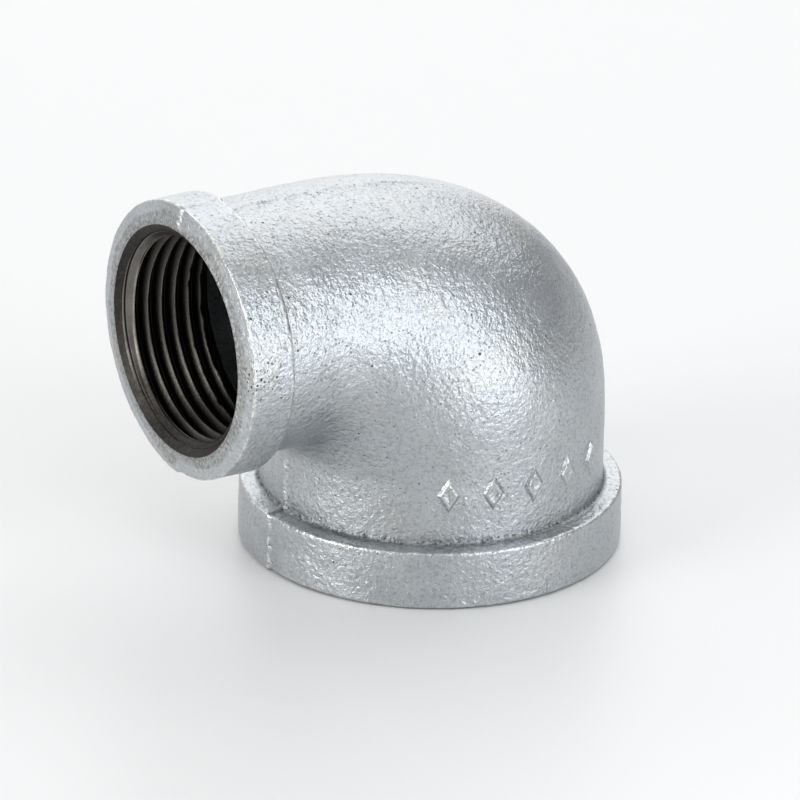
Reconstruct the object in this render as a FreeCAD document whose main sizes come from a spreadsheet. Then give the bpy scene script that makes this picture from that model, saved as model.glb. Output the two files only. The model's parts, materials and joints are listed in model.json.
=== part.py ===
import FreeCAD, Part
import math
import os

import Sketcher

# Reducing pipe elbow, female thread at both ends, in millimetres.
#
# The large socket's axis is +Z and its end face lies in the XY plane, centred on the origin.
# The small socket's axis is parallel to X and its mouth opens towards -X.
# The real elbow is one hollow casting. Its bands, its bend and its two tapped walls are
# modelled as separate solids that meet face to face, so that each keeps its own finish.

DIMENSIONS = [
    ("axis_rise", 40.0, "small socket's axis above the large end face"),
    ("small_reach", 44.5, "small end face from the large socket's axis"),
    ("large_body_radius", 25.65, "outside of the bend where it leaves the large band"),
    ("small_body_radius", 19.0, "outside of the bend where it leaves the small band"),
    ("crotch_radius", 3.6, "outside radius of the inner corner of the bend"),
    ("heel_exponent", 2.59, "fullness of the heel: 2 is an ellipse, more is squarer"),
    ("large_wall", 2.9, "wall of the bend at its large end"),
    ("small_wall", 2.7, "wall of the bend at its small end"),
    ("large_band_radius", 28.5, "outside of the large band"),
    ("large_band_ledge", 9.3, "height of the large band"),
    ("large_band_end", 11.0, "where the large band's node gives way to the bend"),
    ("small_band_radius", 20.9, "outside of the small band"),
    ("small_band_ledge", 7.9, "length of the small band"),
    ("small_band_end", 9.3, "where the small band's node gives way to the bend"),
    ("large_band_rounding", 0.7, "rounding of the large band's edge beside the bend"),
    ("small_band_rounding", 0.8, "rounding of the small band's edge beside the bend"),
    ("large_band_cove", 0.6, "hollow fillet between the large band and the bend"),
    ("small_band_cove", 0.7, "hollow fillet between the small band and the bend"),
    ("large_rim_rounding", 0.7, "rounding of the large end face's outer edge"),
    ("small_rim_width", 1.9, "bevel round the small end face, across the face"),
    ("small_rim_depth", 0.5, "bevel round the small end face, along the band"),
    ("large_mouth_radius", 24.4, "large countersink at the end face"),
    ("large_crest_radius", 22.42, "crest of the 1 1/2 inch parallel thread"),
    ("small_mouth_radius", 17.2, "small countersink at the end face"),
    ("small_crest_radius", 15.15, "crest of the 1 inch parallel thread"),
    ("thread_pitch", 2.309, "11 threads to the inch"),
    ("thread_depth", 1.479, "crest to root of a 55 degree thread"),
    ("thread_root_flat", 0.385, "width of the root, a sixth of the pitch"),
    ("mark_height", 6.4, "raised mark, along Z"),
    ("mark_width", 3.9, "raised mark, across"),
    ("mark_relief", 0.55, "how far a raised mark stands out"),
    ("mark_rise", 17.0, "middle of the row of raised marks above the large end face"),
]

# Derived places, as expressions in the sheet's names. The bend's round sections all lie in
# planes through the crotch line, which runs parallel to Y through (CROTCH_X, CROTCH_Z).
CROTCH_X = "(-dims.large_body_radius - dims.crotch_radius)"
CROTCH_Z = "(dims.axis_rise - dims.small_body_radius - dims.crotch_radius)"

SECTION_COUNT = 13
BEND_ANGLE = 90.0
RIGHT_ANGLE = 90.0
FULL_TURN = 360.0
QUARTERS = 4
THREAD_HALF_ANGLE = 27.5
CUTTER_OVERSHOOT = 0.15
SAME_LENGTH = 1e-4
MARK_ANGLES = [-117.0, -102.0, -87.0, -72.0, -57.0]

X_AXIS = FreeCAD.Vector(1, 0, 0)
Y_AXIS = FreeCAD.Vector(0, 1, 0)
Z_AXIS = FreeCAD.Vector(0, 0, 1)
NO_OFFSET = FreeCAD.Vector(0, 0, 0)

doc = FreeCAD.newDocument("reducing_elbow")
sheet = doc.addObject("Spreadsheet::Sheet", "dims")
for row, (alias, value, meaning) in enumerate(DIMENSIONS, start=1):
    sheet.set(f"A{row}", alias)
    sheet.set(f"B{row}", str(value))
    sheet.set(f"C{row}", meaning)
    sheet.setAlias(f"B{row}", alias)
doc.recompute()


def bind(target, expressions):
    """Ties properties of a document object to cells of the sheet."""
    for path, expression in expressions.items():
        target.setExpression(path, expression)


def origin_feature(body, role):
    """One of a body's own base planes or axes."""
    return next(item for item in body.Origin.OriginFeatures if item.Role == role)


def sketch_on(body, role, name):
    sketch = body.newObject("Sketcher::SketchObject", name)
    sketch.AttachmentSupport = [(origin_feature(body, role), "")]
    sketch.MapMode = "FlatFace"
    return sketch


def place_on_small_end(target, start="0"):
    """Turns a part built along +Z so that it points in from the small end face."""
    target.Placement = FreeCAD.Placement(NO_OFFSET, FreeCAD.Rotation(Y_AXIS, RIGHT_ANGLE))
    bind(target, {
        "Placement.Base.x": f"-dims.small_reach + {start}",
        "Placement.Base.z": "dims.axis_rise",
    })


# ---------------------------------------------------------------- bands

def ring_pad(body, name, outer, inner, length):
    """A tube that stands on the body's XY plane."""
    sketch = sketch_on(body, "XY_Plane", name + "_sketch")
    for label, radius in (("outer", outer), ("inner", inner)):
        circle = sketch.addGeometry(Part.Circle(NO_OFFSET, Z_AXIS, sheet.get(radius)), False)
        sketch.addConstraint(Sketcher.Constraint("Coincident", circle, 3, -1, 1))
        fixed = sketch.addConstraint(Sketcher.Constraint("Radius", circle, sheet.get(radius)))
        sketch.renameConstraint(fixed, label)
        sketch.setExpression("Constraints." + label, "dims." + radius)
    pad = body.newObject("PartDesign::Pad", name)
    pad.Profile = sketch
    pad.setExpression("Length", "dims." + length)
    sketch.Visibility = False
    return pad


def round_edges(shape, radius, height):
    """Names of the full circles of one radius at one height."""
    found = []
    for number, edge in enumerate(shape.Edges, start=1):
        curve = edge.Curve
        if not isinstance(curve, Part.Circle):
            continue
        same_radius = abs(curve.Radius - radius) < SAME_LENGTH
        same_height = abs(curve.Center.z - height) < SAME_LENGTH
        if same_radius and same_height:
            found.append(f"Edge{number}")
    return found


def dress(body, kind, name, radius, height, expressions):
    """Adds a fillet or chamfer on the circle of that radius and height."""
    doc.recompute()
    base = body.Tip
    feature = body.newObject(kind, name)
    feature.Base = (base, round_edges(base.Shape, radius, height))
    bind(feature, expressions)
    return feature


def band(end):
    """The thick band round a mouth, with the first stretch of the neck that it blends into."""
    label = f"{end}_band"
    outer = f"{end}_band_radius"
    neck = f"{end}_body_radius"
    mouth = f"{end}_mouth_radius"
    body = doc.addObject("PartDesign::Body", label)
    ring_pad(body, f"{label}_collar", outer, mouth, f"{label}_ledge")
    ring_pad(body, f"{label}_neck", neck, mouth, f"{label}_end")
    ledge_height = sheet.get(f"{label}_ledge")
    dress(body, "PartDesign::Fillet", f"{label}_inner_corner", sheet.get(neck), ledge_height,
          {"Radius": f"dims.{label}_cove"})
    dress(body, "PartDesign::Fillet", f"{label}_outer_corner", sheet.get(outer), ledge_height,
          {"Radius": f"dims.{label}_rounding"})
    return body


large_band = band("large")
dress(large_band, "PartDesign::Fillet", "large_rim", sheet.get("large_band_radius"), 0.0,
      {"Radius": "dims.large_rim_rounding"})

small_band = band("small")
small_rim = dress(small_band, "PartDesign::Chamfer", "small_rim",
                  sheet.get("small_band_radius"), 0.0, {})
small_rim.ChamferType = "Two distances"
bind(small_rim, {"Size": "dims.small_rim_depth", "Size2": "dims.small_rim_width"})
place_on_small_end(small_band)


# ---------------------------------------------------------------- tapped walls

def closed_profile(sketch, points):
    """Straight lines through the points, fixed in place by the expressions given with them."""
    count = len(points)
    for index in range(count):
        start = FreeCAD.Vector(*points[index][0], 0)
        end = FreeCAD.Vector(*points[(index + 1) % count][0], 0)
        sketch.addGeometry(Part.LineSegment(start, end), False)
    for index in range(count):
        following = (index + 1) % count
        sketch.addConstraint(Sketcher.Constraint("Coincident", index, 2, following, 1))
    for index, (place, expressions) in enumerate(points):
        for kind, value, expression in zip(("DistanceX", "DistanceY"), place, expressions):
            label = f"{kind}_{index}"
            fixed = sketch.addConstraint(
                Sketcher.Constraint(kind, -1, 1, index, 1, value))
            sketch.renameConstraint(fixed, label)
            sketch.setExpression("Constraints." + label, expression)
    sketch.Visibility = False


def tapped_wall(label, mouth, crest, length):
    """A sleeve of wall with a countersink at its mouth and a helical thread cut inside.

    It is revolved as four quarters, so its crest is four sets of short helical strips.
    """
    mouth_radius = sheet.get(mouth)
    crest_radius = sheet.get(crest)
    wall_length = sheet.get(length[0]) - sum(sheet.get(name) for name in length[1:])
    length_text = "(dims." + " - dims.".join(length) + ")"
    sink = mouth_radius - crest_radius
    mouth_text = "dims." + mouth
    crest_text = "dims." + crest
    sink_text = f"({mouth_text} - {crest_text})"

    body = doc.addObject("PartDesign::Body", label)
    wall = sketch_on(body, "XZ_Plane", label + "_wall_sketch")
    closed_profile(wall, [
        ((mouth_radius, 0.0), (mouth_text, "0")),
        ((mouth_radius, wall_length), (mouth_text, length_text)),
        ((crest_radius, wall_length), (crest_text, length_text)),
        ((crest_radius, sink), (crest_text, sink_text)),
    ])
    quarter = body.newObject("PartDesign::Revolution", label + "_quarter")
    quarter.Profile = wall
    quarter.ReferenceAxis = (wall, ["V_Axis"])
    quarter.Angle = FULL_TURN / QUARTERS
    quarter.Refine = False
    doc.recompute()
    turned = body.newObject("PartDesign::PolarPattern", label + "_quarters")
    turned.Originals = [quarter]
    turned.Axis = (origin_feature(body, "Z_Axis"), [""])
    turned.Angle = FULL_TURN
    turned.Occurrences = QUARTERS
    turned.Refine = False
    body.Tip = turned
    doc.recompute()

    groove = sketch_on(body, "XZ_Plane", label + "_groove_sketch")
    slope = math.tan(math.radians(THREAD_HALF_ANGLE))
    root_radius = crest_radius + sheet.get("thread_depth")
    inner_radius = crest_radius - CUTTER_OVERSHOOT
    root_half = sheet.get("thread_root_flat") / 2
    open_half = root_half + slope * (root_radius - inner_radius)
    middle = -sheet.get("thread_pitch")
    root_text = f"{crest_text} + dims.thread_depth"
    inner_text = f"{crest_text} - {CUTTER_OVERSHOOT}"
    root_half_text = "dims.thread_root_flat / 2"
    rise_text = f"(dims.thread_depth + {CUTTER_OVERSHOOT}) * tan({THREAD_HALF_ANGLE} deg)"
    middle_text = "-dims.thread_pitch"
    closed_profile(groove, [
        ((root_radius, middle - root_half), (root_text, f"{middle_text} - {root_half_text}")),
        ((root_radius, middle + root_half), (root_text, f"{middle_text} + {root_half_text}")),
        ((inner_radius, middle + open_half),
         (inner_text, f"{middle_text} + {root_half_text} + {rise_text}")),
        ((inner_radius, middle - open_half),
         (inner_text, f"{middle_text} - {root_half_text} - {rise_text}")),
    ])
    thread = body.newObject("PartDesign::SubtractiveHelix", label + "_thread")
    thread.Profile = groove
    thread.ReferenceAxis = (groove, ["V_Axis"])
    thread.Mode = "pitch-height-angle"
    thread.LeftHanded = False
    thread.Refine = False
    bind(thread, {
        "Pitch": "dims.thread_pitch",
        "Height": f"{length_text} + 2 * dims.thread_pitch",
    })
    body.Tip = thread
    return body


large_thread = tapped_wall("large_thread", "large_mouth_radius", "large_crest_radius",
                           ["axis_rise", "small_body_radius", "crotch_radius"])
small_thread = tapped_wall("small_thread", "small_mouth_radius", "small_crest_radius",
                           ["small_reach", "large_body_radius", "crotch_radius"])
place_on_small_end(small_thread)


# ---------------------------------------------------------------- bend

def bend_loft(name, large_wall, small_wall):
    """A loft through circles that turn about the crotch line from the large to the small end.

    Each circle runs from the crotch out to a superellipse, which gives the full, square heel.
    The walls are expressions for how far in from the outside the circles stand.
    """
    reach_x = f"(2 * dims.large_body_radius + dims.crotch_radius - {large_wall})"
    reach_z = f"(2 * dims.small_body_radius + dims.crotch_radius - {small_wall})"
    circles = []
    for index in range(SECTION_COUNT):
        angle = BEND_ANGLE * index / (SECTION_COUNT - 1)
        cosine = f"cos({angle} deg)"
        sine = f"sin({angle} deg)"
        share = angle / BEND_ANGLE
        near = f"(dims.crotch_radius + {large_wall} * (1 - {share}) + {small_wall} * {share})"
        power = "dims.heel_exponent"
        far = (f"(1 / (({cosine} / {reach_x}) ^ {power}"
               f" + ({sine} / {reach_z}) ^ {power}) ^ (1 / {power}))")
        circle = doc.addObject("Part::Circle", f"{name}_section_{index:02d}")
        circle.Placement = FreeCAD.Placement(NO_OFFSET, FreeCAD.Rotation(-Y_AXIS, angle))
        bind(circle, {
            "Radius": f"({far} - {near}) / 2",
            "Placement.Base.x": f"{CROTCH_X} + {cosine} * ({far} + {near}) / 2",
            "Placement.Base.z": f"{CROTCH_Z} + {sine} * ({far} + {near}) / 2",
        })
        circles.append(circle)
    loft = doc.addObject("Part::Loft", name)
    loft.Sections = circles
    loft.Solid = True
    return loft


def cylinder(name, radius, start, length, on_small_end=False):
    """A cylinder along a socket's axis. Start and length are measured in from the end face."""
    made = doc.addObject("Part::Cylinder", name)
    bind(made, {"Radius": radius, "Height": length})
    if on_small_end:
        place_on_small_end(made, start)
    else:
        bind(made, {"Placement.Base.z": start})
    return made


def fused(name, shapes):
    made = doc.addObject("Part::MultiFuse", name)
    made.Shapes = shapes
    return made


LARGE_DEPTH = CROTCH_Z
SMALL_DEPTH = f"(dims.small_reach + {CROTCH_X})"

bend_outside = fused("bend_outside", [
    bend_loft("outer_bend", "0", "0"),
    cylinder("large_run", "dims.large_body_radius", "dims.large_band_end",
             f"{LARGE_DEPTH} - dims.large_band_end"),
    cylinder("small_run", "dims.small_body_radius", "dims.small_band_end",
             f"{SMALL_DEPTH} - dims.small_band_end", on_small_end=True),
])
bend_inside = fused("bend_inside", [
    bend_loft("waterway", "dims.large_wall", "dims.small_wall"),
    cylinder("large_seat", "dims.large_mouth_radius", "0", LARGE_DEPTH),
    cylinder("small_seat", "dims.small_mouth_radius", "0", SMALL_DEPTH, on_small_end=True),
])
bend_shell = doc.addObject("Part::Cut", "bend_shell")
bend_shell.Base = bend_outside
bend_shell.Tool = bend_inside


# ---------------------------------------------------------------- raised marks

def lozenge(index, angle):
    """A radial lozenge-shaped bar that crosses the bend's outer wall at one angle about Z."""
    sketch = doc.addObject("Sketcher::SketchObject", f"mark_sketch_{index}")
    half_width = sheet.get("mark_width") / 2
    half_height = sheet.get("mark_height") / 2
    closed_profile(sketch, [
        ((half_width, 0.0), ("dims.mark_width / 2", "0")),
        ((0.0, half_height), ("0", "dims.mark_height / 2")),
        ((-half_width, 0.0), ("-dims.mark_width / 2", "0")),
        ((0.0, -half_height), ("0", "-dims.mark_height / 2")),
    ])
    upright = FreeCAD.Rotation(X_AXIS, RIGHT_ANGLE)
    turned = FreeCAD.Rotation(Z_AXIS, angle + RIGHT_ANGLE)
    sketch.Placement = FreeCAD.Placement(NO_OFFSET, turned.multiply(upright))
    sketch.setExpression("Placement.Base.z", "dims.mark_rise")
    bar = doc.addObject("Part::Extrusion", f"mark_bar_{index}")
    bar.Base = sketch
    bar.DirMode = "Normal"
    bar.Solid = True
    bar.setExpression("LengthFwd", "dims.large_body_radius + dims.large_wall")
    outer = doc.addObject("Part::Common", f"mark_blank_{index}")
    outer.Base = bar
    outer.Tool = mark_limit
    mark = doc.addObject("Part::Cut", f"mark_{index}")
    mark.Base = outer
    mark.Tool = mark_wall
    return mark


mark_wall = fused("mark_wall", [
    bend_loft("mark_wall_bend", "0", "0"),
    cylinder("mark_wall_run", "dims.large_body_radius", "0", LARGE_DEPTH),
])
mark_limit = cylinder("mark_limit", "dims.large_body_radius + dims.mark_relief", "0",
                      "dims.axis_rise")
raised_marks = doc.addObject("Part::Compound", "raised_marks")
raised_marks.Links = [lozenge(index, angle) for index, angle in enumerate(MARK_ANGLES)]


# ---------------------------------------------------------------- checks and files

SUB_PARTS = [bend_shell, large_band, small_band, large_thread, small_thread, raised_marks]
for sub_part in SUB_PARTS:
    sub_part.Label = sub_part.Name
doc.recompute()

failed = [item.Name for item in doc.Objects
          if "Invalid" in item.State or "Error" in item.State]
if failed:
    raise RuntimeError(f"objects that failed to compute: {failed}")

os.makedirs("parts", exist_ok=True)
for sub_part in SUB_PARTS:
    shape = sub_part.Shape
    if shape.isNull() or not shape.isValid():
        raise RuntimeError(f"{sub_part.Label} has no valid shape")
for sub_part in SUB_PARTS:
    shape = sub_part.Shape
    shape.exportStep(os.path.join("parts", sub_part.Label + ".step"))
    print(f"{sub_part.Label}: {len(shape.Solids)} solid(s), {len(shape.Faces)} faces, "
          f"{shape.Volume / 1000:.3f} cm3")
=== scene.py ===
import json
import math

import bmesh
import bpy
import numpy as np
from mathutils import Matrix, Vector
from mathutils.bvhtree import BVHTree


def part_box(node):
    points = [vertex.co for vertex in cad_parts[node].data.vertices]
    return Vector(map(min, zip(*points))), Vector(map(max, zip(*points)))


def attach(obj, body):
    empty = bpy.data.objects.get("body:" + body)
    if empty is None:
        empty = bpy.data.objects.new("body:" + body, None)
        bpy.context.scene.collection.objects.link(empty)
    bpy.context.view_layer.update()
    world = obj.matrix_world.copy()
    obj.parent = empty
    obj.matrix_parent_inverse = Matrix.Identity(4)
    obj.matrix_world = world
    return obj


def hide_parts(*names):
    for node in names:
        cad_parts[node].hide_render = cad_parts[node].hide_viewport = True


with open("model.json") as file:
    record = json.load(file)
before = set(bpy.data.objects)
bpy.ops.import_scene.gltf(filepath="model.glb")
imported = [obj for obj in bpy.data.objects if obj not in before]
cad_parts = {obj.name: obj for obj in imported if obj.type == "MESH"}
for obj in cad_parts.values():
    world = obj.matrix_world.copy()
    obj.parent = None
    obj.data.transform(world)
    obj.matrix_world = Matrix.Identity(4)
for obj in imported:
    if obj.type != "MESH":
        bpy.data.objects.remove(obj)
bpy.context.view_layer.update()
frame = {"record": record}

# A galvanised reducing elbow. Shapes are worked out in millimetres and written in metres.
MM = 0.001


# ---------------------------------------------------------------- sizes, from the frame

def box_mm(node):
    """A node's lowest and highest corners at rest, in millimetres."""
    low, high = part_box(node)
    return np.array(low) / MM, np.array(high) / MM


MOUNTS = {mount["name"]: mount for mount in frame["record"]["mounts"]}
large_band_high = box_mm("large_band")[1]
small_band_low, small_band_high = box_mm("small_band")
large_thread_low, large_thread_high = box_mm("large_thread")
small_thread_low, small_thread_high = box_mm("small_thread")

# The small socket's axis is RISE above the large end face, and its end face lies REACH from the
# large socket's axis. The bend turns about a line parallel to Y through CROTCH_X and CROTCH_Z.
RISE = MOUNTS["small_end_face"]["pos_m"][2] / MM
REACH = -MOUNTS["small_end_face"]["pos_m"][0] / MM
CROTCH_X = small_thread_high[0]
CROTCH_Z = large_thread_high[2]
# The frame doesn't say these six, which repeat the CAD model's own.
CROTCH_RADIUS = 3.6
HEEL_EXPONENT = 2.59
LARGE_WALL = 2.9
SMALL_WALL = 2.7
PITCH = 2.309
THREAD_DEPTH = 1.479

LARGE_BODY = -CROTCH_X - CROTCH_RADIUS
SMALL_BODY = RISE - CROTCH_Z - CROTCH_RADIUS
LARGE_MOUTH = large_thread_high[0]
SMALL_MOUTH = (small_thread_high[2] - small_thread_low[2]) / 2
LARGE_BAND_RADIUS = large_band_high[0]
SMALL_BAND_RADIUS = (small_band_high[2] - small_band_low[2]) / 2
LARGE_BAND_END = large_band_high[2]
SMALL_BAND_END = small_band_high[0] - small_band_low[0]
LARGE_CREST = MOUNTS["large_socket"]["dims"]["r_mm"]
SMALL_CREST = MOUNTS["small_socket"]["dims"]["r_mm"]
LARGE_THREAD_LENGTH = large_thread_high[2] - large_thread_low[2]
SMALL_THREAD_LENGTH = small_thread_high[0] - small_thread_low[0]


# ---------------------------------------------------------------- camera

VIEW_AZIMUTH = math.radians(-32.94)
VIEW_ELEVATION = math.radians(23.62)
VIEW_ROLL = math.radians(1.25)
VIEW_DISTANCE = 1445.0
VIEW_TARGET = Vector((0.0, 0.0, 28.9))
VIEW_RIGHT_OF_TARGET = -4.90
VIEW_ABOVE_TARGET = -7.18
# A millimetre at the target takes up VIEW_SCALE of the FRAME_WIDTH.
VIEW_SCALE = 6.8
FRAME_WIDTH = 800.0
SENSOR_WIDTH = 36.0
CLIP_START = 0.05              # metres
CLIP_END = 50.0


def make_camera():
    """The camera, turned by VIEW_ROLL about its own axis and aimed a little off the target."""
    back = Vector((math.sin(VIEW_AZIMUTH) * math.cos(VIEW_ELEVATION),
                   -math.cos(VIEW_AZIMUTH) * math.cos(VIEW_ELEVATION),
                   math.sin(VIEW_ELEVATION)))
    level = Vector((math.cos(VIEW_AZIMUTH), math.sin(VIEW_AZIMUTH), 0.0))
    upright = back.cross(level)
    right = math.cos(VIEW_ROLL) * level + math.sin(VIEW_ROLL) * upright
    up = -math.sin(VIEW_ROLL) * level + math.cos(VIEW_ROLL) * upright
    aim = VIEW_TARGET + VIEW_RIGHT_OF_TARGET * right + VIEW_ABOVE_TARGET * up
    data = bpy.data.cameras.new("camera")
    data.sensor_width = SENSOR_WIDTH
    data.lens = VIEW_SCALE * VIEW_DISTANCE * SENSOR_WIDTH / FRAME_WIDTH
    data.clip_start = CLIP_START
    data.clip_end = CLIP_END
    camera = bpy.data.objects.new("camera", data)
    bpy.context.scene.collection.objects.link(camera)
    turn = Matrix((right, up, back)).transposed()
    camera.matrix_world = Matrix.Translation((aim + VIEW_DISTANCE * back) * MM) @ turn.to_4x4()
    bpy.context.scene.camera = camera


make_camera()


# ---------------------------------------------------------------- noise

HALF_RANGE = 2147483648.0      # half of what 32 bits count to
NOISE_GAIN = 1.6               # brings the peaks to about 1
CORNER_COUNT = 8


def scrambled(ix, iy, iz, seed):
    """A repeatable number from -1 to 1 for each whole-number place.

    The odd multipliers and the shifts only mix the bits.
    """
    hashed = (ix.astype(np.uint32) * np.uint32(0x8DA6B343)
              ^ iy.astype(np.uint32) * np.uint32(0xD8163841)
              ^ iz.astype(np.uint32) * np.uint32(0xCB1AB31F)
              ^ np.uint32(seed * 40503 + 977))
    hashed ^= hashed >> np.uint32(15)
    hashed *= np.uint32(0x2C1B3C6D)
    hashed ^= hashed >> np.uint32(12)
    hashed *= np.uint32(0x297A2D39)
    hashed ^= hashed >> np.uint32(15)
    return hashed.astype(np.float64) / HALF_RANGE - 1.0


def noise(points, size, seed):
    """Smooth noise of about -1 to 1 over points in millimetres, with lumps of that size.

    Each seed gives noise of its own.
    """
    scaled = points / size
    whole = np.floor(scaled).astype(np.int64)
    part = scaled - whole
    ease = part * part * part * (part * (part * 6 - 15) + 10)
    total = np.zeros(points.shape[:-1])
    for corner in range(CORNER_COUNT):
        step = np.array([corner & 1, corner >> 1 & 1, corner >> 2 & 1])
        place = whole + step
        weight = np.prod(np.where(step, ease, 1 - ease), axis=-1)
        away = part - step
        for axis in range(3):
            slope = scrambled(place[..., 0], place[..., 1], place[..., 2], seed * 3 + axis)
            total += weight * slope * away[..., axis]
    return total * NOISE_GAIN


def smoothstep(value):
    """A smooth rise from 0 to 1 as the value goes from 0 to 1, and flat outside that."""
    share = np.clip(value, 0, 1)
    return share * share * (3 - 2 * share)


# ---------------------------------------------------------------- meshes

STRAIGHT_ENOUGH = 1e-3
LEAST_CORNER_STEPS = 4
LEAST_LENGTH = 1e-12
QUAD = 4


def rounded_path(corners, step):
    """Points along a path of straight runs, each inner corner rounded by its own radius.

    Corners are (along, radius, rounding). Returns the points and each stretch's turn: 1 on a
    rounded edge, -1 in a rounded hollow and 0 elsewhere, when the solid is on the right.
    """
    places = [np.array(corner[:2], float) for corner in corners]
    points, turns = [places[0]], [0.0]

    def run_to(end):
        start = points[-1]
        count = max(1, int(round(np.linalg.norm(end - start) / step)))
        for index in range(1, count + 1):
            points.append(start + (end - start) * index / count)
            turns.append(0.0)

    for index in range(1, len(places) - 1):
        rounding = corners[index][2]
        before = places[index - 1] - places[index]
        after = places[index + 1] - places[index]
        before /= np.linalg.norm(before)
        after /= np.linalg.norm(after)
        half = math.acos(np.clip(before @ after, -1, 1)) / 2
        if rounding <= 0 or abs(half - math.pi / 2) < STRAIGHT_ENOUGH:
            run_to(places[index])
            continue
        cut = rounding / math.tan(half)
        run_to(places[index] + before * cut)
        middle = before + after
        centre = places[index] + middle / np.linalg.norm(middle) * rounding / math.sin(half)
        side = np.sign(before[0] * after[1] - before[1] * after[0])
        sweep = math.pi - 2 * half
        first = points[-1] - centre
        count = max(LEAST_CORNER_STEPS, int(round(rounding * sweep / step)))
        for number in range(1, count + 1):
            angle = side * -sweep * number / count
            turn = np.array([[math.cos(angle), -math.sin(angle)],
                             [math.sin(angle), math.cos(angle)]])
            points.append(centre + turn @ first)
            turns.append(side)
    run_to(places[-1])
    return np.array(points), np.array(turns)


def on_large_end(along, radius, angle):
    """Points round the large socket's axis, along it from the end face into the elbow."""
    return np.stack([radius * np.cos(angle), radius * np.sin(angle), along], axis=-1)


def on_small_end(along, radius, angle):
    """Points round the small socket's axis, along it from the end face into the elbow."""
    return np.stack([along - REACH, radius * np.cos(angle), RISE + radius * np.sin(angle)],
                    axis=-1)


def grid_normals(points):
    """Normals of a grid of which each row is a closed ring."""
    down = np.gradient(points, axis=0)
    across = np.roll(points, -1, axis=1) - np.roll(points, 1, axis=1)
    made = np.cross(down, across)
    return made / np.maximum(np.linalg.norm(made, axis=-1, keepdims=True), LEAST_LENGTH)


def closed_piece(name, points, sharp_rows, attributes, material, nodes):
    """A solid from a grid of points that closes on itself both ways, like a ring's skin.

    It is smooth, apart from the edges along the sharp rows. The attributes are numbers from 0
    to 1 at each point, which the material reads.
    """
    rows, columns = points.shape[:2]
    vertex = np.arange(rows * columns).reshape(rows, columns)
    right = np.roll(vertex, -1, axis=1)
    below = np.roll(vertex, -1, axis=0)
    across = np.roll(below, -1, axis=1)
    faces = np.stack([vertex, right, across, below], axis=-1).reshape(-1, QUAD)
    flat = points.reshape(-1, 3)
    first, second, third, fourth = (flat[faces[:, index]] for index in range(QUAD))
    spread = np.cross(third - first, fourth - second)
    if np.sum((first + second + third + fourth) * spread) < 0:
        faces = faces[:, ::-1]
    mesh = bpy.data.meshes.new(name)
    mesh.vertices.add(len(flat))
    mesh.vertices.foreach_set("co", (flat * MM).astype(np.float32).ravel())
    mesh.loops.add(faces.size)
    mesh.loops.foreach_set("vertex_index", faces.astype(np.int32).ravel())
    mesh.polygons.add(len(faces))
    mesh.polygons.foreach_set("loop_start", np.arange(0, faces.size, QUAD, dtype=np.int32))
    mesh.update(calc_edges=True)
    mesh.validate()
    mesh.polygons.foreach_set("use_smooth", [True] * len(mesh.polygons))
    ends = np.empty(len(mesh.edges) * 2, np.int32)
    mesh.edges.foreach_get("vertices", ends)
    row_of_end = ends.reshape(-1, 2) // columns
    same_row = row_of_end[:, 0] == row_of_end[:, 1]
    sharp = same_row & np.isin(row_of_end[:, 0], sharp_rows)
    mesh.attributes.new("sharp_edge", "BOOLEAN", "EDGE").data.foreach_set("value", sharp)
    for label, values in attributes.items():
        kept = mesh.attributes.new(label, "FLOAT", "POINT")
        kept.data.foreach_set("value", values.astype(np.float32).ravel())
    mesh.materials.append(material)
    piece = bpy.data.objects.new(name, mesh)
    bpy.context.scene.collection.objects.link(piece)
    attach(piece, "root")
    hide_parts(*nodes)
    return piece


# ---------------------------------------------------------------- cast surface

CAST_REST = 0.18               # how deep the cast skin lies, on average, under the CAD surface
CAST_LUMPS = [(0.06, 11.0, 1), (0.05, 3.4, 2), (0.040, 1.25, 3)]     # height, size and seed
SEAM_HEIGHT = 0.27
SEAM_HALF_WIDTH = 0.42
SEAM_STEP = 0.15
SEAM_STEP_HALF_WIDTH = 6
SEAM_WANDER = 0.35
SEAM_WANDER_SIZE = 5.0
SEAM_RAGGED_SIZE = 1.6
TOP_SEAM_RISE = 8              # how far above the small socket's axis the seam is at its fullest
TOP_SEAM_END = 4               # where the top seam has faded out along X
TOP_SEAM_FADE = 16
NECK_SEAM_START = -14          # where the seam under the neck begins along X
NECK_SEAM_TOP = 24
NECK_SEAM_FADE = 4
MOUTH_WANDER_RADIUS = 6        # of the circle in the noise that a mouth's edge is read from
MOUTH_WANDER = 0.05
MOUTH_WANDER_SIZES = (1.7, 0.45)


def cast_relief(points):
    """How far the cast and dipped skin lies from its nominal surface: always a little under.

    Where the two halves of the mould met, on top of the small leg and down the large one under
    the neck, they were slightly out of line, which left a low ragged ridge with a step.
    """
    relief = sum(height * noise(points, size, seed) for height, size, seed in CAST_LUMPS)
    across = points[..., 1] - SEAM_WANDER * noise(points, SEAM_WANDER_SIZE, 4)
    ragged = 0.7 + 0.6 * noise(points, SEAM_RAGGED_SIZE, 5)
    on_top = (smoothstep((points[..., 2] - RISE) / TOP_SEAM_RISE)
              * smoothstep((TOP_SEAM_END - points[..., 0]) / TOP_SEAM_FADE))
    below_neck = (smoothstep((NECK_SEAM_START - points[..., 0]) / NECK_SEAM_FADE)
                  * smoothstep((NECK_SEAM_TOP - points[..., 2]) / NECK_SEAM_FADE))
    ridge = SEAM_HEIGHT * ragged * np.exp(-(across / SEAM_HALF_WIDTH) ** 2)
    step = (SEAM_STEP * np.tanh(across / SEAM_HALF_WIDTH)
            * np.exp(-(across / SEAM_STEP_HALF_WIDTH) ** 2))
    seam = (on_top + below_neck) * (ridge + step)
    return np.minimum(relief + seam, CAST_REST) - CAST_REST


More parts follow.
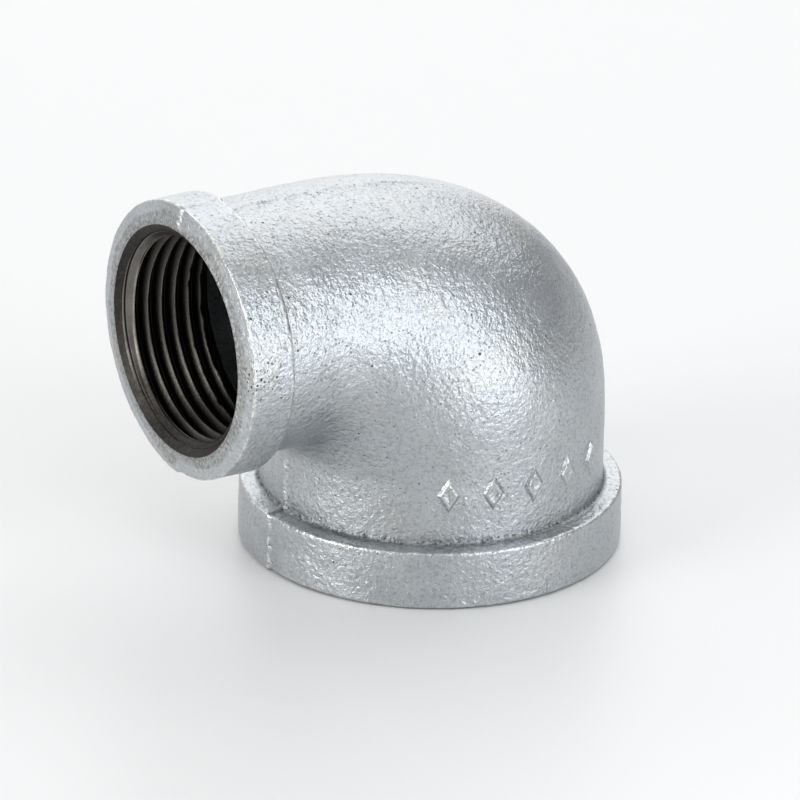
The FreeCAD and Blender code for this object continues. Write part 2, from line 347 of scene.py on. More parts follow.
def mouth_edge(angle, seed):
    """How far a machined mouth's edge wanders."""
    ring = np.stack([MOUTH_WANDER_RADIUS * np.cos(angle), MOUTH_WANDER_RADIUS * np.sin(angle),
                     np.zeros_like(angle)], axis=-1)
    slow, quick = MOUTH_WANDER_SIZES
    return MOUTH_WANDER * noise(ring, slow, seed) + MOUTH_WANDER * noise(ring, quick, seed + 1)


# ---------------------------------------------------------------- materials

MIX_SHARE, MIX_FIRST, MIX_SECOND, MIX_RESULT = 0, 6, 7, 2       # the Mix node's colour sockets
SPECK_SOFTNESS = 0.06


def shader_tree(name):
    """A new material, its node tree and its shader."""
    material = bpy.data.materials.new(name)
    material.use_nodes = True
    tree = material.node_tree
    return material, tree, tree.nodes["Principled BSDF"]


def add_node(tree, kind, inputs=None, **properties):
    """A new node, with its inputs either linked from a socket or set to a value."""
    made = tree.nodes.new(kind)
    for key, value in properties.items():
        setattr(made, key, value)
    for key, value in (inputs or {}).items():
        if isinstance(value, bpy.types.NodeSocket):
            tree.links.new(value, made.inputs[key])
        else:
            made.inputs[key].default_value = value
    return made


def millimetre_coordinates(tree):
    place = add_node(tree, "ShaderNodeTexCoord").outputs["Object"]
    return add_node(tree, "ShaderNodeVectorMath", {0: place, "Scale": 1 / MM},
                    operation="SCALE").outputs["Vector"]


def noise_value(tree, place, size, detail=2.0, roughness=0.5, distortion=0.0):
    return add_node(tree, "ShaderNodeTexNoise", {
        "Vector": place, "Scale": 1 / size, "Detail": detail, "Roughness": roughness,
        "Distortion": distortion}).outputs["Fac"]


def remap(tree, value, low, high, to_low=0.0, to_high=1.0):
    return add_node(tree, "ShaderNodeMapRange", {
        "Value": value, "From Min": low, "From Max": high, "To Min": to_low,
        "To Max": to_high}).outputs["Result"]


def maths(tree, operation, first, second):
    return add_node(tree, "ShaderNodeMath", {0: first, 1: second},
                    operation=operation).outputs["Value"]


def mixed(tree, share, first, second):
    made = add_node(tree, "ShaderNodeMix", data_type="RGBA")
    for key, value in ((MIX_SHARE, share), (MIX_FIRST, first), (MIX_SECOND, second)):
        if isinstance(value, bpy.types.NodeSocket):
            tree.links.new(value, made.inputs[key])
        else:
            made.inputs[key].default_value = value
    return made.outputs[MIX_RESULT]


def attribute(tree, name):
    return add_node(tree, "ShaderNodeAttribute", attribute_name=name).outputs["Fac"]


def dots(tree, place, spacing, least, largest, seed_shift):
    """Round specks of random size, at most one in each cell of that spacing, in millimetres.

    Cells whose random number is under the least hold no speck.
    """
    shifted = add_node(tree, "ShaderNodeVectorMath", {0: place, 1: seed_shift},
                       operation="ADD").outputs["Vector"]
    cell = add_node(tree, "ShaderNodeTexVoronoi",
                    {"Vector": shifted, "Scale": 1 / spacing, "Randomness": 1.0}, feature="F1")
    size = add_node(tree, "ShaderNodeSeparateColor", {"Color": cell.outputs["Color"]})
    edge = remap(tree, size.outputs["Red"], least, 1.0, 0.0, largest / spacing)
    inside = maths(tree, "SUBTRACT", edge, cell.outputs["Distance"])
    return remap(tree, inside, 0.0, SPECK_SOFTNESS / spacing)


# Colours of the metals. They end in 1, which is full cover.
ZINC_DULL = (0.475, 0.500, 0.520, 1)
ZINC_BRIGHT = (0.535, 0.560, 0.580, 1)
ZINC_WARM = (0.52, 0.515, 0.495, 1)
ZINC_GRAIN = (0.26, 0.265, 0.27, 1)
ZINC_WORN = (0.86, 0.84, 0.77, 1)
PINHOLE_DARK = (0.06, 0.052, 0.047, 1)
# The dark of painted shade in the creases where a band meets the body, and of grime on the end
# faces.
GRIME_AND_SHADE_DARK = (0.088, 0.094, 0.092, 1)
IRON_DULL = (0.30, 0.28, 0.26, 1)
IRON_BRIGHT = (0.44, 0.42, 0.39, 1)
# Painted shade in the thread's grooves: first the flanks, then darker at the roots.
FLANK_SHADE = (0.075, 0.070, 0.064, 1)
ROOT_SHADE = (0.016, 0.014, 0.012, 1)
COUNTERSINK_DARK = (0.032, 0.030, 0.028, 1)
COUNTERSINK_LIGHT = (0.052, 0.047, 0.044, 1)

# Sizes of the metals' noise and heights of their bumps, in millimetres.
ZINC_CLOUD_SIZE = 6.0
ZINC_WARMTH_SIZE = 9.0
ZINC_GRAIN_SIZE = 0.50
ZINC_PEBBLE_SIZE = 0.74
ZINC_FINE_SIZE = 0.32
ZINC_BUMP = 0.185
IRON_CLOUD_SIZE = 2.4
IRON_STREAK_SIZE = 0.5
IRON_BUMP = 0.07

SPECK_STRENGTH = 0.46
HOLE_STRENGTH = 0.88
WEAR_STRENGTH = 0.9
HOLE_ROUGHNESS = 0.3
GRIME_AND_SHADE_ROUGHNESS = 0.25
FINE_SHARE = 0.32
HOLE_BUMP_SHARE = 0.5
COUNTERSINK_ROUGHNESS = 0.10


def zinc_material():
    """Hot-dip zinc over rough cast iron: dull silver, finely pebbled, with dark pinholes."""
    material, tree, shader = shader_tree("hot_dip_zinc")
    place = millimetre_coordinates(tree)
    wear = attribute(tree, "wear")
    grime_and_crease_shade = attribute(tree, "grime_and_crease_shade")
    pitted = attribute(tree, "pitted")
    cloud = noise_value(tree, place, ZINC_CLOUD_SIZE, 3.0, 0.55)
    warmth = noise_value(tree, place, ZINC_WARMTH_SIZE, 2.0, 0.5)
    grain = noise_value(tree, place, ZINC_GRAIN_SIZE, 2.5, 0.6)
    colour = mixed(tree, remap(tree, cloud, 0.35, 0.65), ZINC_DULL, ZINC_BRIGHT)
    colour = mixed(tree, remap(tree, warmth, 0.52, 0.72, 0.0, 0.5), colour, ZINC_WARM)
    colour = mixed(tree, remap(tree, grain, 0.34, 0.50, 0.45, 0.0), colour, ZINC_GRAIN)
    specks = dots(tree, place, spacing=0.60, least=0.20, largest=0.19, seed_shift=(0, 0, 0))
    pinholes = dots(tree, place, spacing=2.0, least=0.55, largest=0.25,
                    seed_shift=(41.0, 17.0, 5.0))
    cluster = dots(tree, place, spacing=0.66, least=0.15, largest=0.24,
                   seed_shift=(7.0, 23.0, 61.0))
    hole = maths(tree, "MAXIMUM", maths(tree, "MULTIPLY", specks, SPECK_STRENGTH), pinholes)
    hole = maths(tree, "MAXIMUM", hole, maths(tree, "MULTIPLY", cluster, pitted))
    colour = mixed(tree, maths(tree, "MULTIPLY", hole, HOLE_STRENGTH), colour, PINHOLE_DARK)
    # Painted shade in the band creases and grime on the end faces darken the colour, more where
    # the grain is low.
    dirt_and_crease_shade = maths(tree, "MULTIPLY", grime_and_crease_shade, remap(tree, grain, 0.36, 0.60, 1.35, 0.55))
    colour = mixed(tree, dirt_and_crease_shade, colour, GRIME_AND_SHADE_DARK)
    colour = mixed(tree, maths(tree, "MULTIPLY", wear, WEAR_STRENGTH), colour, ZINC_WORN)
    tree.links.new(colour, shader.inputs["Base Color"])
    shader.inputs["Metallic"].default_value = 1.0
    rough = remap(tree, cloud, 0.3, 0.7, 0.29, 0.38)
    rough = maths(tree, "ADD", rough, maths(tree, "MULTIPLY", hole, HOLE_ROUGHNESS))
    rough = maths(tree, "ADD", rough, maths(tree, "MULTIPLY", grime_and_crease_shade, GRIME_AND_SHADE_ROUGHNESS))
    tree.links.new(rough, shader.inputs["Roughness"])
    pebble = noise_value(tree, place, ZINC_PEBBLE_SIZE, 2.0, 0.5, 0.3)
    fine = noise_value(tree, place, ZINC_FINE_SIZE, 1.0, 0.5)
    height = maths(tree, "ADD", pebble, maths(tree, "MULTIPLY", fine, FINE_SHARE))
    height = maths(tree, "SUBTRACT", height, maths(tree, "MULTIPLY", hole, HOLE_BUMP_SHARE))
    bump = add_node(tree, "ShaderNodeBump", {
        "Height": height, "Strength": 1.0, "Distance": ZINC_BUMP * MM})
    tree.links.new(bump.outputs["Normal"], shader.inputs["Normal"])
    return material


def machined_iron_material():
    """Bare tapped iron, a little brown and dull in the countersink, with painted shade darkening
    the thread's flanks and roots so that only the crests stay bright.
    """
    material, tree, shader = shader_tree("machined_iron")
    place = millimetre_coordinates(tree)
    sink = attribute(tree, "sink")
    groove_shade = attribute(tree, "groove_shade")
    cloud = noise_value(tree, place, IRON_CLOUD_SIZE, 3.0, 0.6)
    streak = noise_value(tree, place, IRON_STREAK_SIZE, 2.0, 0.6)
    colour = mixed(tree, remap(tree, cloud, 0.35, 0.65), IRON_DULL, IRON_BRIGHT)
    # Painted shade: the iron darkens with depth into the groove, first on the flanks, then near
    # black at the roots.
    colour = mixed(tree, remap(tree, groove_shade, 0.0, 0.09), colour, FLANK_SHADE)
    colour = mixed(tree, remap(tree, groove_shade, 0.10, 0.6), colour, ROOT_SHADE)
    darkened = mixed(tree, remap(tree, streak, 0.35, 0.65), COUNTERSINK_DARK, COUNTERSINK_LIGHT)
    colour = mixed(tree, sink, colour, darkened)
    tree.links.new(colour, shader.inputs["Base Color"])
    shader.inputs["Metallic"].default_value = 1.0
    rough = maths(tree, "ADD", remap(tree, cloud, 0.3, 0.7, 0.30, 0.40),
                  maths(tree, "MULTIPLY", sink, COUNTERSINK_ROUGHNESS))
    tree.links.new(rough, shader.inputs["Roughness"])
    bump = add_node(tree, "ShaderNodeBump", {
        "Height": streak, "Strength": 0.5, "Distance": IRON_BUMP * MM})
    tree.links.new(bump.outputs["Normal"], shader.inputs["Normal"])
    return material


ZINC = zinc_material()
IRON = machined_iron_material()


# ---------------------------------------------------------------- bend

BEND_ROWS = 186
BEND_COLUMNS = 420
RUN_ROWS = 16
INNER_ROWS = 16
SEAT_ROWS = 3
INNER_LUMPS = [(0.12, 2.6, 9), (0.10, 6.0, 10)]       # height, size and seed
INNER_FADE_ROWS = 4
HIGH_PITS_RISE = 8             # pits on the upper side begin this far above the small axis
HIGH_PITS_FADE = 9
HIGH_PITS_SHARE = 0.55
LOW_PITS_START = -14           # pits under the neck begin here along X
LOW_PITS_FADE = 5
LOW_PITS_TOP = 26
LOW_PITS_TOP_FADE = 4
LOW_PITS_SHARE = 0.35
PITS_SIZE = 3.0
PITS_COVER = 0.6


def bend_circles(large_inset, small_inset, count):
    """Centres, outward directions and radii of the bend's round sections."""
    reach_x = 2 * LARGE_BODY + CROTCH_RADIUS - large_inset
    reach_z = 2 * SMALL_BODY + CROTCH_RADIUS - small_inset
    angle = np.linspace(0, math.pi / 2, count)
    cosine, sine = np.cos(angle), np.sin(angle)
    share = angle / (math.pi / 2)
    near = CROTCH_RADIUS + large_inset * (1 - share) + small_inset * share
    far = ((cosine / reach_x) ** HEEL_EXPONENT
           + (sine / reach_z) ** HEEL_EXPONENT) ** (-1 / HEEL_EXPONENT)
    outward = np.stack([cosine, np.zeros(count), sine], axis=-1)
    middle = (far + near)[:, None] / 2 * outward + np.array([CROTCH_X, 0, CROTCH_Z])
    return middle, outward, (far - near) / 2


def run_circles(start, end, outward, radius, count):
    """Centres, outward directions and radii along a straight run of one radius."""
    middle = np.linspace(start, end, count)
    return middle, np.tile(outward, (count, 1)), np.full(count, radius)


def circle_grid(circles, angle):
    """The points of every circle, a row for each, with angle 0 in its outward direction."""
    middle, outward, radius = (np.concatenate(group) for group in zip(*circles))
    sideways = np.array([0.0, 1.0, 0.0])
    turning = (np.cos(angle)[None, :, None] * outward[:, None, :]
               + np.sin(angle)[None, :, None] * sideways)
    return middle[:, None, :] + radius[:, None, None] * turning


def make_bend():
    """The hollow bend: its skin, the seats of the sleeves and the waterway. Returns the piece."""
    angle = np.linspace(0, 2 * math.pi, BEND_COLUMNS, endpoint=False)
    x_axis, z_axis = np.array([1.0, 0, 0]), np.array([0, 0, 1.0])
    large_run = run_circles([0, 0, LARGE_BAND_END], [0, 0, CROTCH_Z], x_axis,
                            LARGE_BODY, RUN_ROWS)
    small_run = run_circles([CROTCH_X, 0, RISE], [SMALL_BAND_END - REACH, 0, RISE], z_axis,
                            SMALL_BODY, RUN_ROWS)
    bend = bend_circles(0, 0, BEND_ROWS)
    inside_bend = tuple(part[1:-1] for part in bend)
    outside = circle_grid([large_run, inside_bend, small_run], angle)
    normals = grid_normals(outside)
    sign = np.sign(np.sum(normals[0, 0] * x_axis))
    outside = outside + sign * normals * cast_relief(outside)[..., None]
    small_seat = run_circles([SMALL_BAND_END - REACH, 0, RISE], [CROTCH_X, 0, RISE], z_axis,
                             SMALL_MOUTH, SEAT_ROWS)
    large_seat = run_circles([0, 0, CROTCH_Z], [0, 0, LARGE_BAND_END], x_axis, LARGE_MOUTH,
                             SEAT_ROWS)
    waterway = tuple(part[::-1] for part in bend_circles(LARGE_WALL, SMALL_WALL, INNER_ROWS))
    seats = circle_grid([small_seat], angle)
    inner = circle_grid([waterway], angle)
    inner_normals = grid_normals(inner)
    rough = sum(height * noise(inner, size, seed) for height, size, seed in INNER_LUMPS)
    from_end = np.minimum(np.arange(INNER_ROWS), np.arange(INNER_ROWS)[::-1])
    fade = from_end / INNER_FADE_ROWS
    inner = inner + inner_normals * (rough * np.clip(fade, 0, 1)[:, None])[..., None]
    points = np.concatenate([outside, seats, inner, circle_grid([large_seat], angle)])
    last = len(outside) - 1
    first_inner = last + SEAT_ROWS + 1
    last_inner = last + SEAT_ROWS + INNER_ROWS
    corners = [0, last, last + 1, first_inner - 1, first_inner, last_inner, last_inner + 1,
               len(points) - 1]
    zeros = np.zeros(points.shape[:2])
    high = smoothstep((points[..., 2] - RISE - HIGH_PITS_RISE) / HIGH_PITS_FADE)
    low = (smoothstep((LOW_PITS_START - points[..., 0]) / LOW_PITS_FADE)
           * smoothstep((LOW_PITS_TOP - points[..., 2]) / LOW_PITS_TOP_FADE))
    pitted = ((HIGH_PITS_SHARE * high + LOW_PITS_SHARE * low)
              * smoothstep(PITS_COVER + noise(points, PITS_SIZE, 12)))
    return closed_piece("bend_cast_skin", points, corners,
                        {"wear": zeros, "grime_and_crease_shade": zeros, "pitted": pitted},
                        ZINC, ["bend_shell"])


# ---------------------------------------------------------------- bands

BAND_STEP = 0.18
MOUTH_FADE = 0.8               # the cast relief is full this far outside the machined mouth
INNER_START = 0.5              # where the band's bore begins, behind the mouth's edge
INNER_BAND_ROWS = 3
TURN_SPREAD = 3                # rows that the edge wear and the painted crease shade spread over
FACE_DEPTH = 0.35              # what lies this near the end face counts as the face
FACE_FADE = 0.1
FACE_WEAR = 0.12
FACE_PITS = 0.6
FACE_GRIME = 0.41
BLOTCH_GRIME = 0.15
MOUTH_GRIME = 0.16
MOUTH_GRIME_WIDTH = 0.9
MOUTH_GRIME_FADE = 0.7
# Painted shade in the rounded hollows of a band's section, with ragged edges.
HOLLOW_SHADE = 0.55
HOLLOW_SHADE_RAGGED = 0.25
WEAR_FADE = 0.5
CLUSTER_RADIUS = 5.0
CLUSTER_FADE = 3


def make_band(name, place, corners, mouth_seed, column_count, node, mouth, end, edge_wear,
              clusters):
    """A band's ring: face, outer side, ledge and the start of the neck, then back inside.

    The corners are the rounded path of its section. Edge wear is how bright its edges have
    worn, and clusters are the centres of patches of pits.
    """
    profile, turns = rounded_path(corners, BAND_STEP)
    angle = np.linspace(0, 2 * math.pi, column_count, endpoint=False)
    along = np.repeat(profile[:, 0][:, None], column_count, axis=1)
    radius = np.repeat(profile[:, 1][:, None], column_count, axis=1)
    nominal = place(along, radius, angle[None, :])
    steps = np.gradient(profile, axis=0)
    steps /= np.linalg.norm(steps, axis=1, keepdims=True)
    outward = np.stack([-steps[:, 1], steps[:, 0]], axis=-1)
    relief = cast_relief(nominal)
    inset = np.clip((profile[:, 1] - mouth) / MOUTH_FADE, 0, 1)[:, None]
    relief = relief * smoothstep(inset)
    along = np.maximum(along + outward[:, 0][:, None] * relief, 0)
    radius = radius + outward[:, 1][:, None] * relief
    edge = mouth_edge(angle, mouth_seed)
    radius = radius + edge[None, :] * smoothstep(1 - inset)
    skin = place(along, radius, angle[None, :])
    inner_along = np.array([end, end / 2, INNER_START])[:, None]
    inner = place(inner_along + 0 * angle, np.full((INNER_BAND_ROWS, column_count), mouth),
                  angle[None, :])
    points = np.concatenate([skin, inner])
    last = len(skin) - 1
    outer = profile[:, 1].max()
    spread = np.ones(TURN_SPREAD) / TURN_SPREAD
    convex = np.convolve(np.clip(turns, 0, 1), spread, "same")
    hollow = np.convolve(np.clip(-turns, 0, 1), spread, "same")
    ragged = smoothstep(0.5 + 1.3 * noise(nominal, 1.1, 21))
    facing = smoothstep((FACE_DEPTH - along) / FACE_FADE)
    blotches = smoothstep(0.5 + 0.8 * noise(nominal, 2.3, 22) + 1.1 * noise(nominal, 0.55, 23))
    near_mouth = smoothstep((mouth + MOUTH_GRIME_WIDTH - radius + 0.3 * noise(nominal, 0.8, 24))
                            / MOUTH_GRIME_FADE)
    shape = points.shape[:2]
    wear, grime_and_crease_shade, pitted = np.zeros(shape), np.zeros(shape), np.zeros(shape)
    on_outer_side = smoothstep((radius - (mouth + outer) / 2) / WEAR_FADE)
    wear[:last + 1] = (edge_wear * convex[:, None] * ragged * on_outer_side
                       + FACE_WEAR * facing)
    # Painted shade in the hollows where the band meets the body; on the end face the darkening is
    # grime, in blotches and heavier near the mouth.
    grime_and_crease_shade[:last + 1] = (hollow[:, None] * (HOLLOW_SHADE + HOLLOW_SHADE_RAGGED * ragged)
                        + facing * (FACE_GRIME + BLOTCH_GRIME * blotches
                                    + MOUTH_GRIME * near_mouth))
    for centre in clusters:
        from_centre = np.linalg.norm(nominal - np.array(centre), axis=-1)
        pitted[:last + 1] += smoothstep((CLUSTER_RADIUS - from_centre) / CLUSTER_FADE)
    pitted[:last + 1] = np.minimum(pitted[:last + 1] + FACE_PITS * facing, 1)
    closed_piece(name, points, [0, last, last + 1, len(points) - 1],
                 {"wear": wear, "grime_and_crease_shade": grime_and_crease_shade, "pitted": pitted}, ZINC, [node])


def make_bands():
    """Both bands. A section's corner is its place along the axis, its radius and rounding."""
    large_section = [
        (0.0, LARGE_MOUTH, 0),
        (0.0, LARGE_BAND_RADIUS, 0.7),
        (9.2, LARGE_BAND_RADIUS, 0.7),
        (9.4, LARGE_BODY, 0.5),
        (LARGE_BAND_END, LARGE_BODY, 0),
    ]
    small_section = [
        (0.0, SMALL_MOUTH, 0),
        (0.0, SMALL_MOUTH + 1.2, 3.0),
        (0.5, SMALL_BAND_RADIUS, 0.35),
        (7.75, SMALL_BAND_RADIUS, 0.8),
        (8.0, SMALL_BODY, 0.5),
        (SMALL_BAND_END, SMALL_BODY, 0),
    ]
    make_band("large_band_cast", on_large_end, large_section, mouth_seed=31, column_count=540,
              node="large_band", mouth=LARGE_MOUTH, end=LARGE_BAND_END, edge_wear=0.3,
              clusters=[])
    make_band("small_band_cast", on_small_end, small_section, mouth_seed=41, column_count=430,
              node="small_band", mouth=SMALL_MOUTH, end=SMALL_BAND_END, edge_wear=1.0,
              clusters=[(2 - REACH, -SMALL_BAND_RADIUS, RISE + 1)])


# ---------------------------------------------------------------- threads

MOUTH_STEP = 0.06              # rows are closer together near the mouth
MOUTH_ZONE = 3.0
THREAD_STEP = 0.12
CREST_HALF = 0.07              # half of the crest's flat, as a share of half the pitch
CREST_ROUNDING = 0.055
STEEPEST = 40                  # keeps the rounding's power within what a number can hold
CONE_SLOPE = 1.16              # how fast the countersink narrows
CONE_FADE = 0.1
LAND_TAPER = 0.62              # how fast the land in front of the first crest narrows
LAND_BEYOND = 0.15
# How much of the painted groove shade the land in front of the first crest gets.
LAND_SHADE_SHARE = 0.055
LAND_FADE = 0.3
SMEAR_HEIGHT = -0.35           # the land is smeared below this, as a sine round the axis
SMEAR_FADE = 0.4
UNDERCUT_PLACE = 1.08          # a fine groove inside the mouth, painted dark with shade
UNDERCUT_DEPTH = 0.10
UNDERCUT_HALF_WIDTH = 0.10
BORE_TAPER = 0.10              # the rough cast bore, which ends the thread at its inner end
BORE_LUMPS = (0.25, 2.2), (0.12, 0.8)
TOOL_MARKS = 0.015
TOOL_MARK_SIZE = 0.9
TOOL_MARK_FADE = 0.8
BACKING_ROWS = 2


def whitworth(phase):
    """Depth from the crest, from 0 to 1, over one pitch, with rounded crest and root."""
    across = np.abs((phase + 0.5) % 1.0 - 0.5) * 2
    flank = (across - CREST_HALF) / (1 - 2 * CREST_HALF)
    soft = CREST_ROUNDING
    low = soft * np.log1p(np.exp(np.clip(flank / soft, -STEEPEST, STEEPEST)))
    return 1 - soft * np.log1p(np.exp(np.clip((1 - low) / soft, -STEEPEST, STEEPEST)))


def make_thread(name, place, mouth, crest_radius, length, first_crest, rough_from, seed,
                column_count, node):
    """A tapped wall: countersink, right-hand thread, then the rough end of the tapping.

    The first crest and the place where the rough end begins are measured from the end face.
    """
    near = np.arange(0, MOUTH_ZONE, MOUTH_STEP)
    far_count = int(round((length - MOUTH_ZONE) / THREAD_STEP)) + 1
    along = np.concatenate([near, np.linspace(MOUTH_ZONE, length, far_count)])[:, None]
    row_count = len(along)
    angle = np.linspace(0, 2 * math.pi, column_count, endpoint=False)[None, :]
    phase = (along - first_crest) / PITCH - angle / (2 * math.pi)
    depth = whitworth(phase)
    radius = crest_radius + THREAD_DEPTH * depth
    nominal = place(along + 0 * angle, np.full((row_count, column_count), crest_radius), angle)
    (large_lump, large_size), (small_lump, small_size) = BORE_LUMPS
    cast_bore = (crest_radius + BORE_TAPER * (along - rough_from)
                 + large_lump * noise(nominal, large_size, seed)
                 + small_lump * noise(nominal, small_size, seed + 1))
    radius = np.maximum(radius, np.minimum(cast_bore, crest_radius + THREAD_DEPTH))
    edge = mouth_edge(angle[0], seed + 2)[None, :]
    cone = mouth + edge - CONE_SLOPE * along
    land = crest_radius + LAND_TAPER * np.clip(first_crest + LAND_BEYOND - along, 0, None)
    before_thread = smoothstep((first_crest - along) / LAND_FADE)
    smeared = smoothstep((SMEAR_HEIGHT - np.sin(angle)) / SMEAR_FADE) * before_thread
    sink = np.maximum(smoothstep(0.5 + (cone - np.maximum(radius, land)) / CONE_FADE), smeared)
    undercut = UNDERCUT_DEPTH * np.exp(-((along - UNDERCUT_PLACE) / UNDERCUT_HALF_WIDTH) ** 2)
    radius = np.where(along < first_crest, np.minimum(radius, np.maximum(land, cone)), radius)
    radius = np.maximum(radius, cone) + undercut
    tool_marks = TOOL_MARKS * noise(nominal, TOOL_MARK_SIZE, seed + 3)
    radius = radius + tool_marks * smoothstep(along / TOOL_MARK_FADE)
    skin = place(along + 0 * angle, radius, angle)
    backing_along = np.array([length, length / 2])[:, None]
    backing = place(backing_along + 0 * angle, np.full((BACKING_ROWS, column_count), mouth),
                    angle)
    points = np.concatenate([skin, backing])
    countersunk, groove_shade = np.zeros(points.shape[:2]), np.zeros(points.shape[:2])
    countersunk[:row_count] = sink
    # Painted shade: the deeper into a groove, the darker the iron; the fine groove inside the
    # mouth gets it in full and the land in front of the first crest a little.
    in_groove = (radius - crest_radius) / THREAD_DEPTH * (along >= first_crest)
    darkened = np.maximum(in_groove, before_thread * LAND_SHADE_SHARE)
    groove_shade[:row_count] = np.where(undercut > UNDERCUT_DEPTH / 2, 1.0, darkened)
    closed_piece(name, points, [0, row_count - 1, row_count],
                 {"sink": countersunk, "groove_shade": groove_shade}, IRON, [node])


# ---------------------------------------------------------------- raised marks

MARK_ANGLES = [-117.0, -102.0, -87.0, -72.0, -57.0]        # degrees round the large axis
MARK_RISE = 17.0
MARK_HALF_WIDTH = 1.95
MARK_HALF_HEIGHT = 3.2
MARK_RELIEF = 0.52
MARK_DISH = 0.13
MARK_SKIRT = 0.07
MARK_UNEVENNESS = 0.07
MARK_DEPTH = 0.5               # how far a mark's back is sunk under the skin
MARK_CELLS = 34
MARK_EDGE = 0.46               # share of the half size that the slope of its edge takes
MARK_DISH_START = 0.50
MARK_DISH_EDGE = 0.34
MARK_LUMP_SIZE = 0.9
MARK_WORN_ABOVE = 0.25
MARK_WORN_FADE = 0.1
MARK_WEAR = 0.12
RAY_START = 0.05               # metres from the axis, outside the bend


def make_marks(skin):
    """Five lozenges cast proud of the bend, each dished in the middle like a worn raised mark."""
    tree = BVHTree.FromObject(skin, bpy.context.evaluated_depsgraph_get())
    side = np.linspace(-1, 1, MARK_CELLS + 1)
    first, second = np.meshgrid(side, side, indexing="ij")
    across = MARK_HALF_WIDTH * (first - second) / 2
    up = MARK_HALF_HEIGHT * (first + second) / 2
    rim = np.maximum(np.abs(first), np.abs(second))
    height = (MARK_RELIEF * smoothstep((1 - rim) / MARK_EDGE)
              - MARK_DISH * smoothstep((MARK_DISH_START - rim) / MARK_DISH_EDGE) - MARK_SKIRT)
    corners, faces, wear = [], [], []
    count = MARK_CELLS + 1
    for angle in MARK_ANGLES:
        base = len(corners)
        uneven = noise(np.stack([across, up, np.full_like(up, angle)], axis=-1),
                       MARK_LUMP_SIZE, 71)
        worn = height + MARK_UNEVENNESS * uneven
        top, bottom = [], []
        for row in range(count):
            for column in range(count):
                turn = math.radians(angle) + across[row, column] / LARGE_BODY
                outward = Vector((math.cos(turn), math.sin(turn), 0.0))
                start = outward * RAY_START + Vector((0, 0, (MARK_RISE + up[row, column]) * MM))
                hit = tree.ray_cast(start, -outward)[0]
                top.append(hit + outward * worn[row, column] * MM)
                bottom.append(hit - outward * MARK_DEPTH * MM)
        corners += top + bottom
        under = base + count * count
        for row in range(MARK_CELLS):
            for column in range(MARK_CELLS):
                here = row * count + column
                ring = [here, here + count, here + count + 1, here + 1]
                faces.append([base + place for place in ring])
                faces.append([under + place for place in reversed(ring)])
        border = (list(range(count))
                  + [row * count + MARK_CELLS for row in range(1, count)]
                  + [MARK_CELLS * count + column for column in range(MARK_CELLS - 1, -1, -1)]
                  + [row * count for row in range(MARK_CELLS - 1, 0, -1)])
        for place, following in zip(border, border[1:] + border[:1]):
            faces.append([base + place, base + following, under + following, under + place])
        worn_top = smoothstep((height - MARK_WORN_ABOVE) / MARK_WORN_FADE)
        wear += list((MARK_WEAR * worn_top).ravel())
        wear += [0.0] * (count * count)
    mesh = bpy.data.meshes.new("cast_marks")
    mesh.from_pydata(corners, [], faces)
    mesh.validate()
    shaping = bmesh.new()
    shaping.from_mesh(mesh)
    bmesh.ops.recalc_face_normals(shaping, faces=shaping.faces)
    shaping.to_mesh(mesh)
    shaping.free()
    mesh.polygons.foreach_set("use_smooth", [True] * len(mesh.polygons))
    bare = [0.0] * len(wear)
    for label, values in (("wear", wear), ("grime_and_crease_shade", bare), ("pitted", bare)):
        mesh.attributes.new(label, "FLOAT", "POINT").data.foreach_set("value", values)
    mesh.materials.append(ZINC)
    piece = bpy.data.objects.new("cast_marks", mesh)
    bpy.context.scene.collection.objects.link(piece)
    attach(piece, "root")
    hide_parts("raised_marks")


# ---------------------------------------------------------------- stage and light

FLOOR_HALF = 4.0               # metres
FLOOR_HEIGHT = -0.00003        # just clear of the end face
FLOOR_COLOUR = (0.82, 0.82, 0.82, 1)
FLOOR_ROUGHNESS = 0.42
FLOOR_SPECULAR = 0.5


def make_floor():
    """A plain pale floor with a soft sheen."""
    half, height = FLOOR_HALF, FLOOR_HEIGHT
    mesh = bpy.data.meshes.new("floor")
    mesh.from_pydata([(-half, -half, height), (half, -half, height),
                      (half, half, height), (-half, half, height)], [], [(0, 1, 2, 3)])
    material, _, shader = shader_tree("pale_floor")
    shader.inputs["Base Color"].default_value = FLOOR_COLOUR
    shader.inputs["Roughness"].default_value = FLOOR_ROUGHNESS
    shader.inputs["Specular IOR Level"].default_value = FLOOR_SPECULAR
    mesh.materials.append(material)
    floor = bpy.data.objects.new("floor", mesh)
    bpy.context.scene.collection.objects.link(floor)


# The lights' places and sizes are in metres.
LIGHT_DISTANCE = 1.0
CARD_DISTANCE = 0.28
LIGHT_CENTRE = Vector((-0.008, 0.0, 0.03))
COOL = (0.93, 0.98, 1.0)
PLAIN = (1.0, 1.0, 1.0)
WARM = (1.0, 0.985, 0.95)
STUDIO_COLOUR = (0.97, 0.98, 1.0, 1)
STUDIO_STRENGTH = 0.45


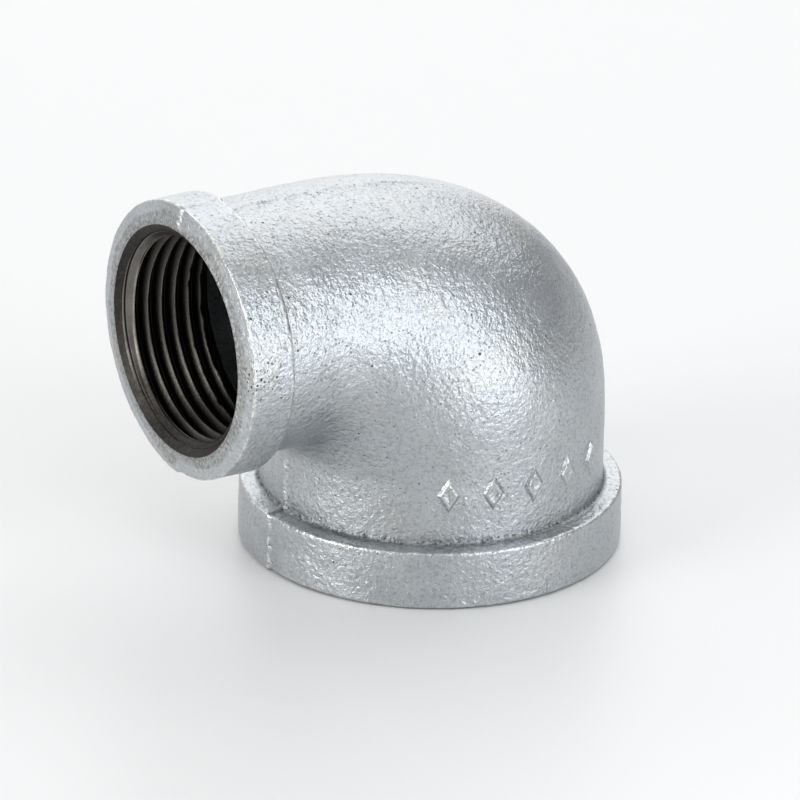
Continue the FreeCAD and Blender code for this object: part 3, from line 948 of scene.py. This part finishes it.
def softbox(name, azimuth, elevation, width, height, radiance, colour,
            distance=LIGHT_DISTANCE):
    """An evenly bright panel facing the elbow, from a direction in degrees."""
    turn, tilt = math.radians(azimuth), math.radians(elevation)
    outward = Vector((math.cos(turn) * math.cos(tilt), math.sin(turn) * math.cos(tilt),
                      math.sin(tilt)))
    data = bpy.data.lights.new(name, "AREA")
    data.shape = "RECTANGLE"
    data.size = width
    data.size_y = height
    data.energy = radiance * math.pi * width * height
    data.color = colour
    light = bpy.data.objects.new(name, data)
    bpy.context.scene.collection.objects.link(light)
    light.location = LIGHT_CENTRE + outward * distance
    light.rotation_mode = "QUATERNION"
    light.rotation_quaternion = outward.to_track_quat("Z", "Y")


def make_light():
    """Cool cards and panels in front, a warmer one on the left, and a white room around.

    Each has a direction, a width and height, a brightness and a colour.
    """
    softbox("key_card_left", -82, 4, 0.12, 0.085, 2.6, COOL, CARD_DISTANCE)
    softbox("key_card_right", -62, 4, 0.14, 0.085, 1.5, COOL, CARD_DISTANCE)
    softbox("key_middle", -70, 18, 0.36, 0.36, 0.55, COOL)
    softbox("key_upper", -72, 32, 0.35, 0.35, 3.5, COOL)
    softbox("left_panel", 180, 13, 0.50, 0.90, 4.5, WARM)
    softbox("white_background", 60, 14, 0.76, 0.70, 1.15, PLAIN)
    softbox("back_left", 115, 25, 0.60, 0.50, 1.25, PLAIN)
    softbox("high_left", -112, 52, 0.80, 0.60, 0.9, PLAIN)
    softbox("high_front", -60, 45, 0.50, 0.50, 0.35, COOL)
    softbox("high_right", 35, 52, 1.10, 0.70, 1.4, PLAIN)
    world = bpy.data.worlds.new("studio")
    world.use_nodes = True
    shade = world.node_tree.nodes["Background"]
    shade.inputs["Color"].default_value = STUDIO_COLOUR
    shade.inputs["Strength"].default_value = STUDIO_STRENGTH
    bpy.context.scene.world = world


# ---------------------------------------------------------------- the scene

bpy.context.scene.view_settings.view_transform = "Standard"
make_floor()
make_light()
bend_skin = make_bend()
make_bands()
make_thread("small_thread_tapped", on_small_end, SMALL_MOUTH, SMALL_CREST,
            SMALL_THREAD_LENGTH, first_crest=2.28, rough_from=11.4, seed=51, column_count=360,
            node="small_thread")
make_thread("large_thread_tapped", on_large_end, LARGE_MOUTH, LARGE_CREST,
            LARGE_THREAD_LENGTH, first_crest=2.1, rough_from=13.5, seed=61, column_count=420,
            node="large_thread")
make_marks(bend_skin)
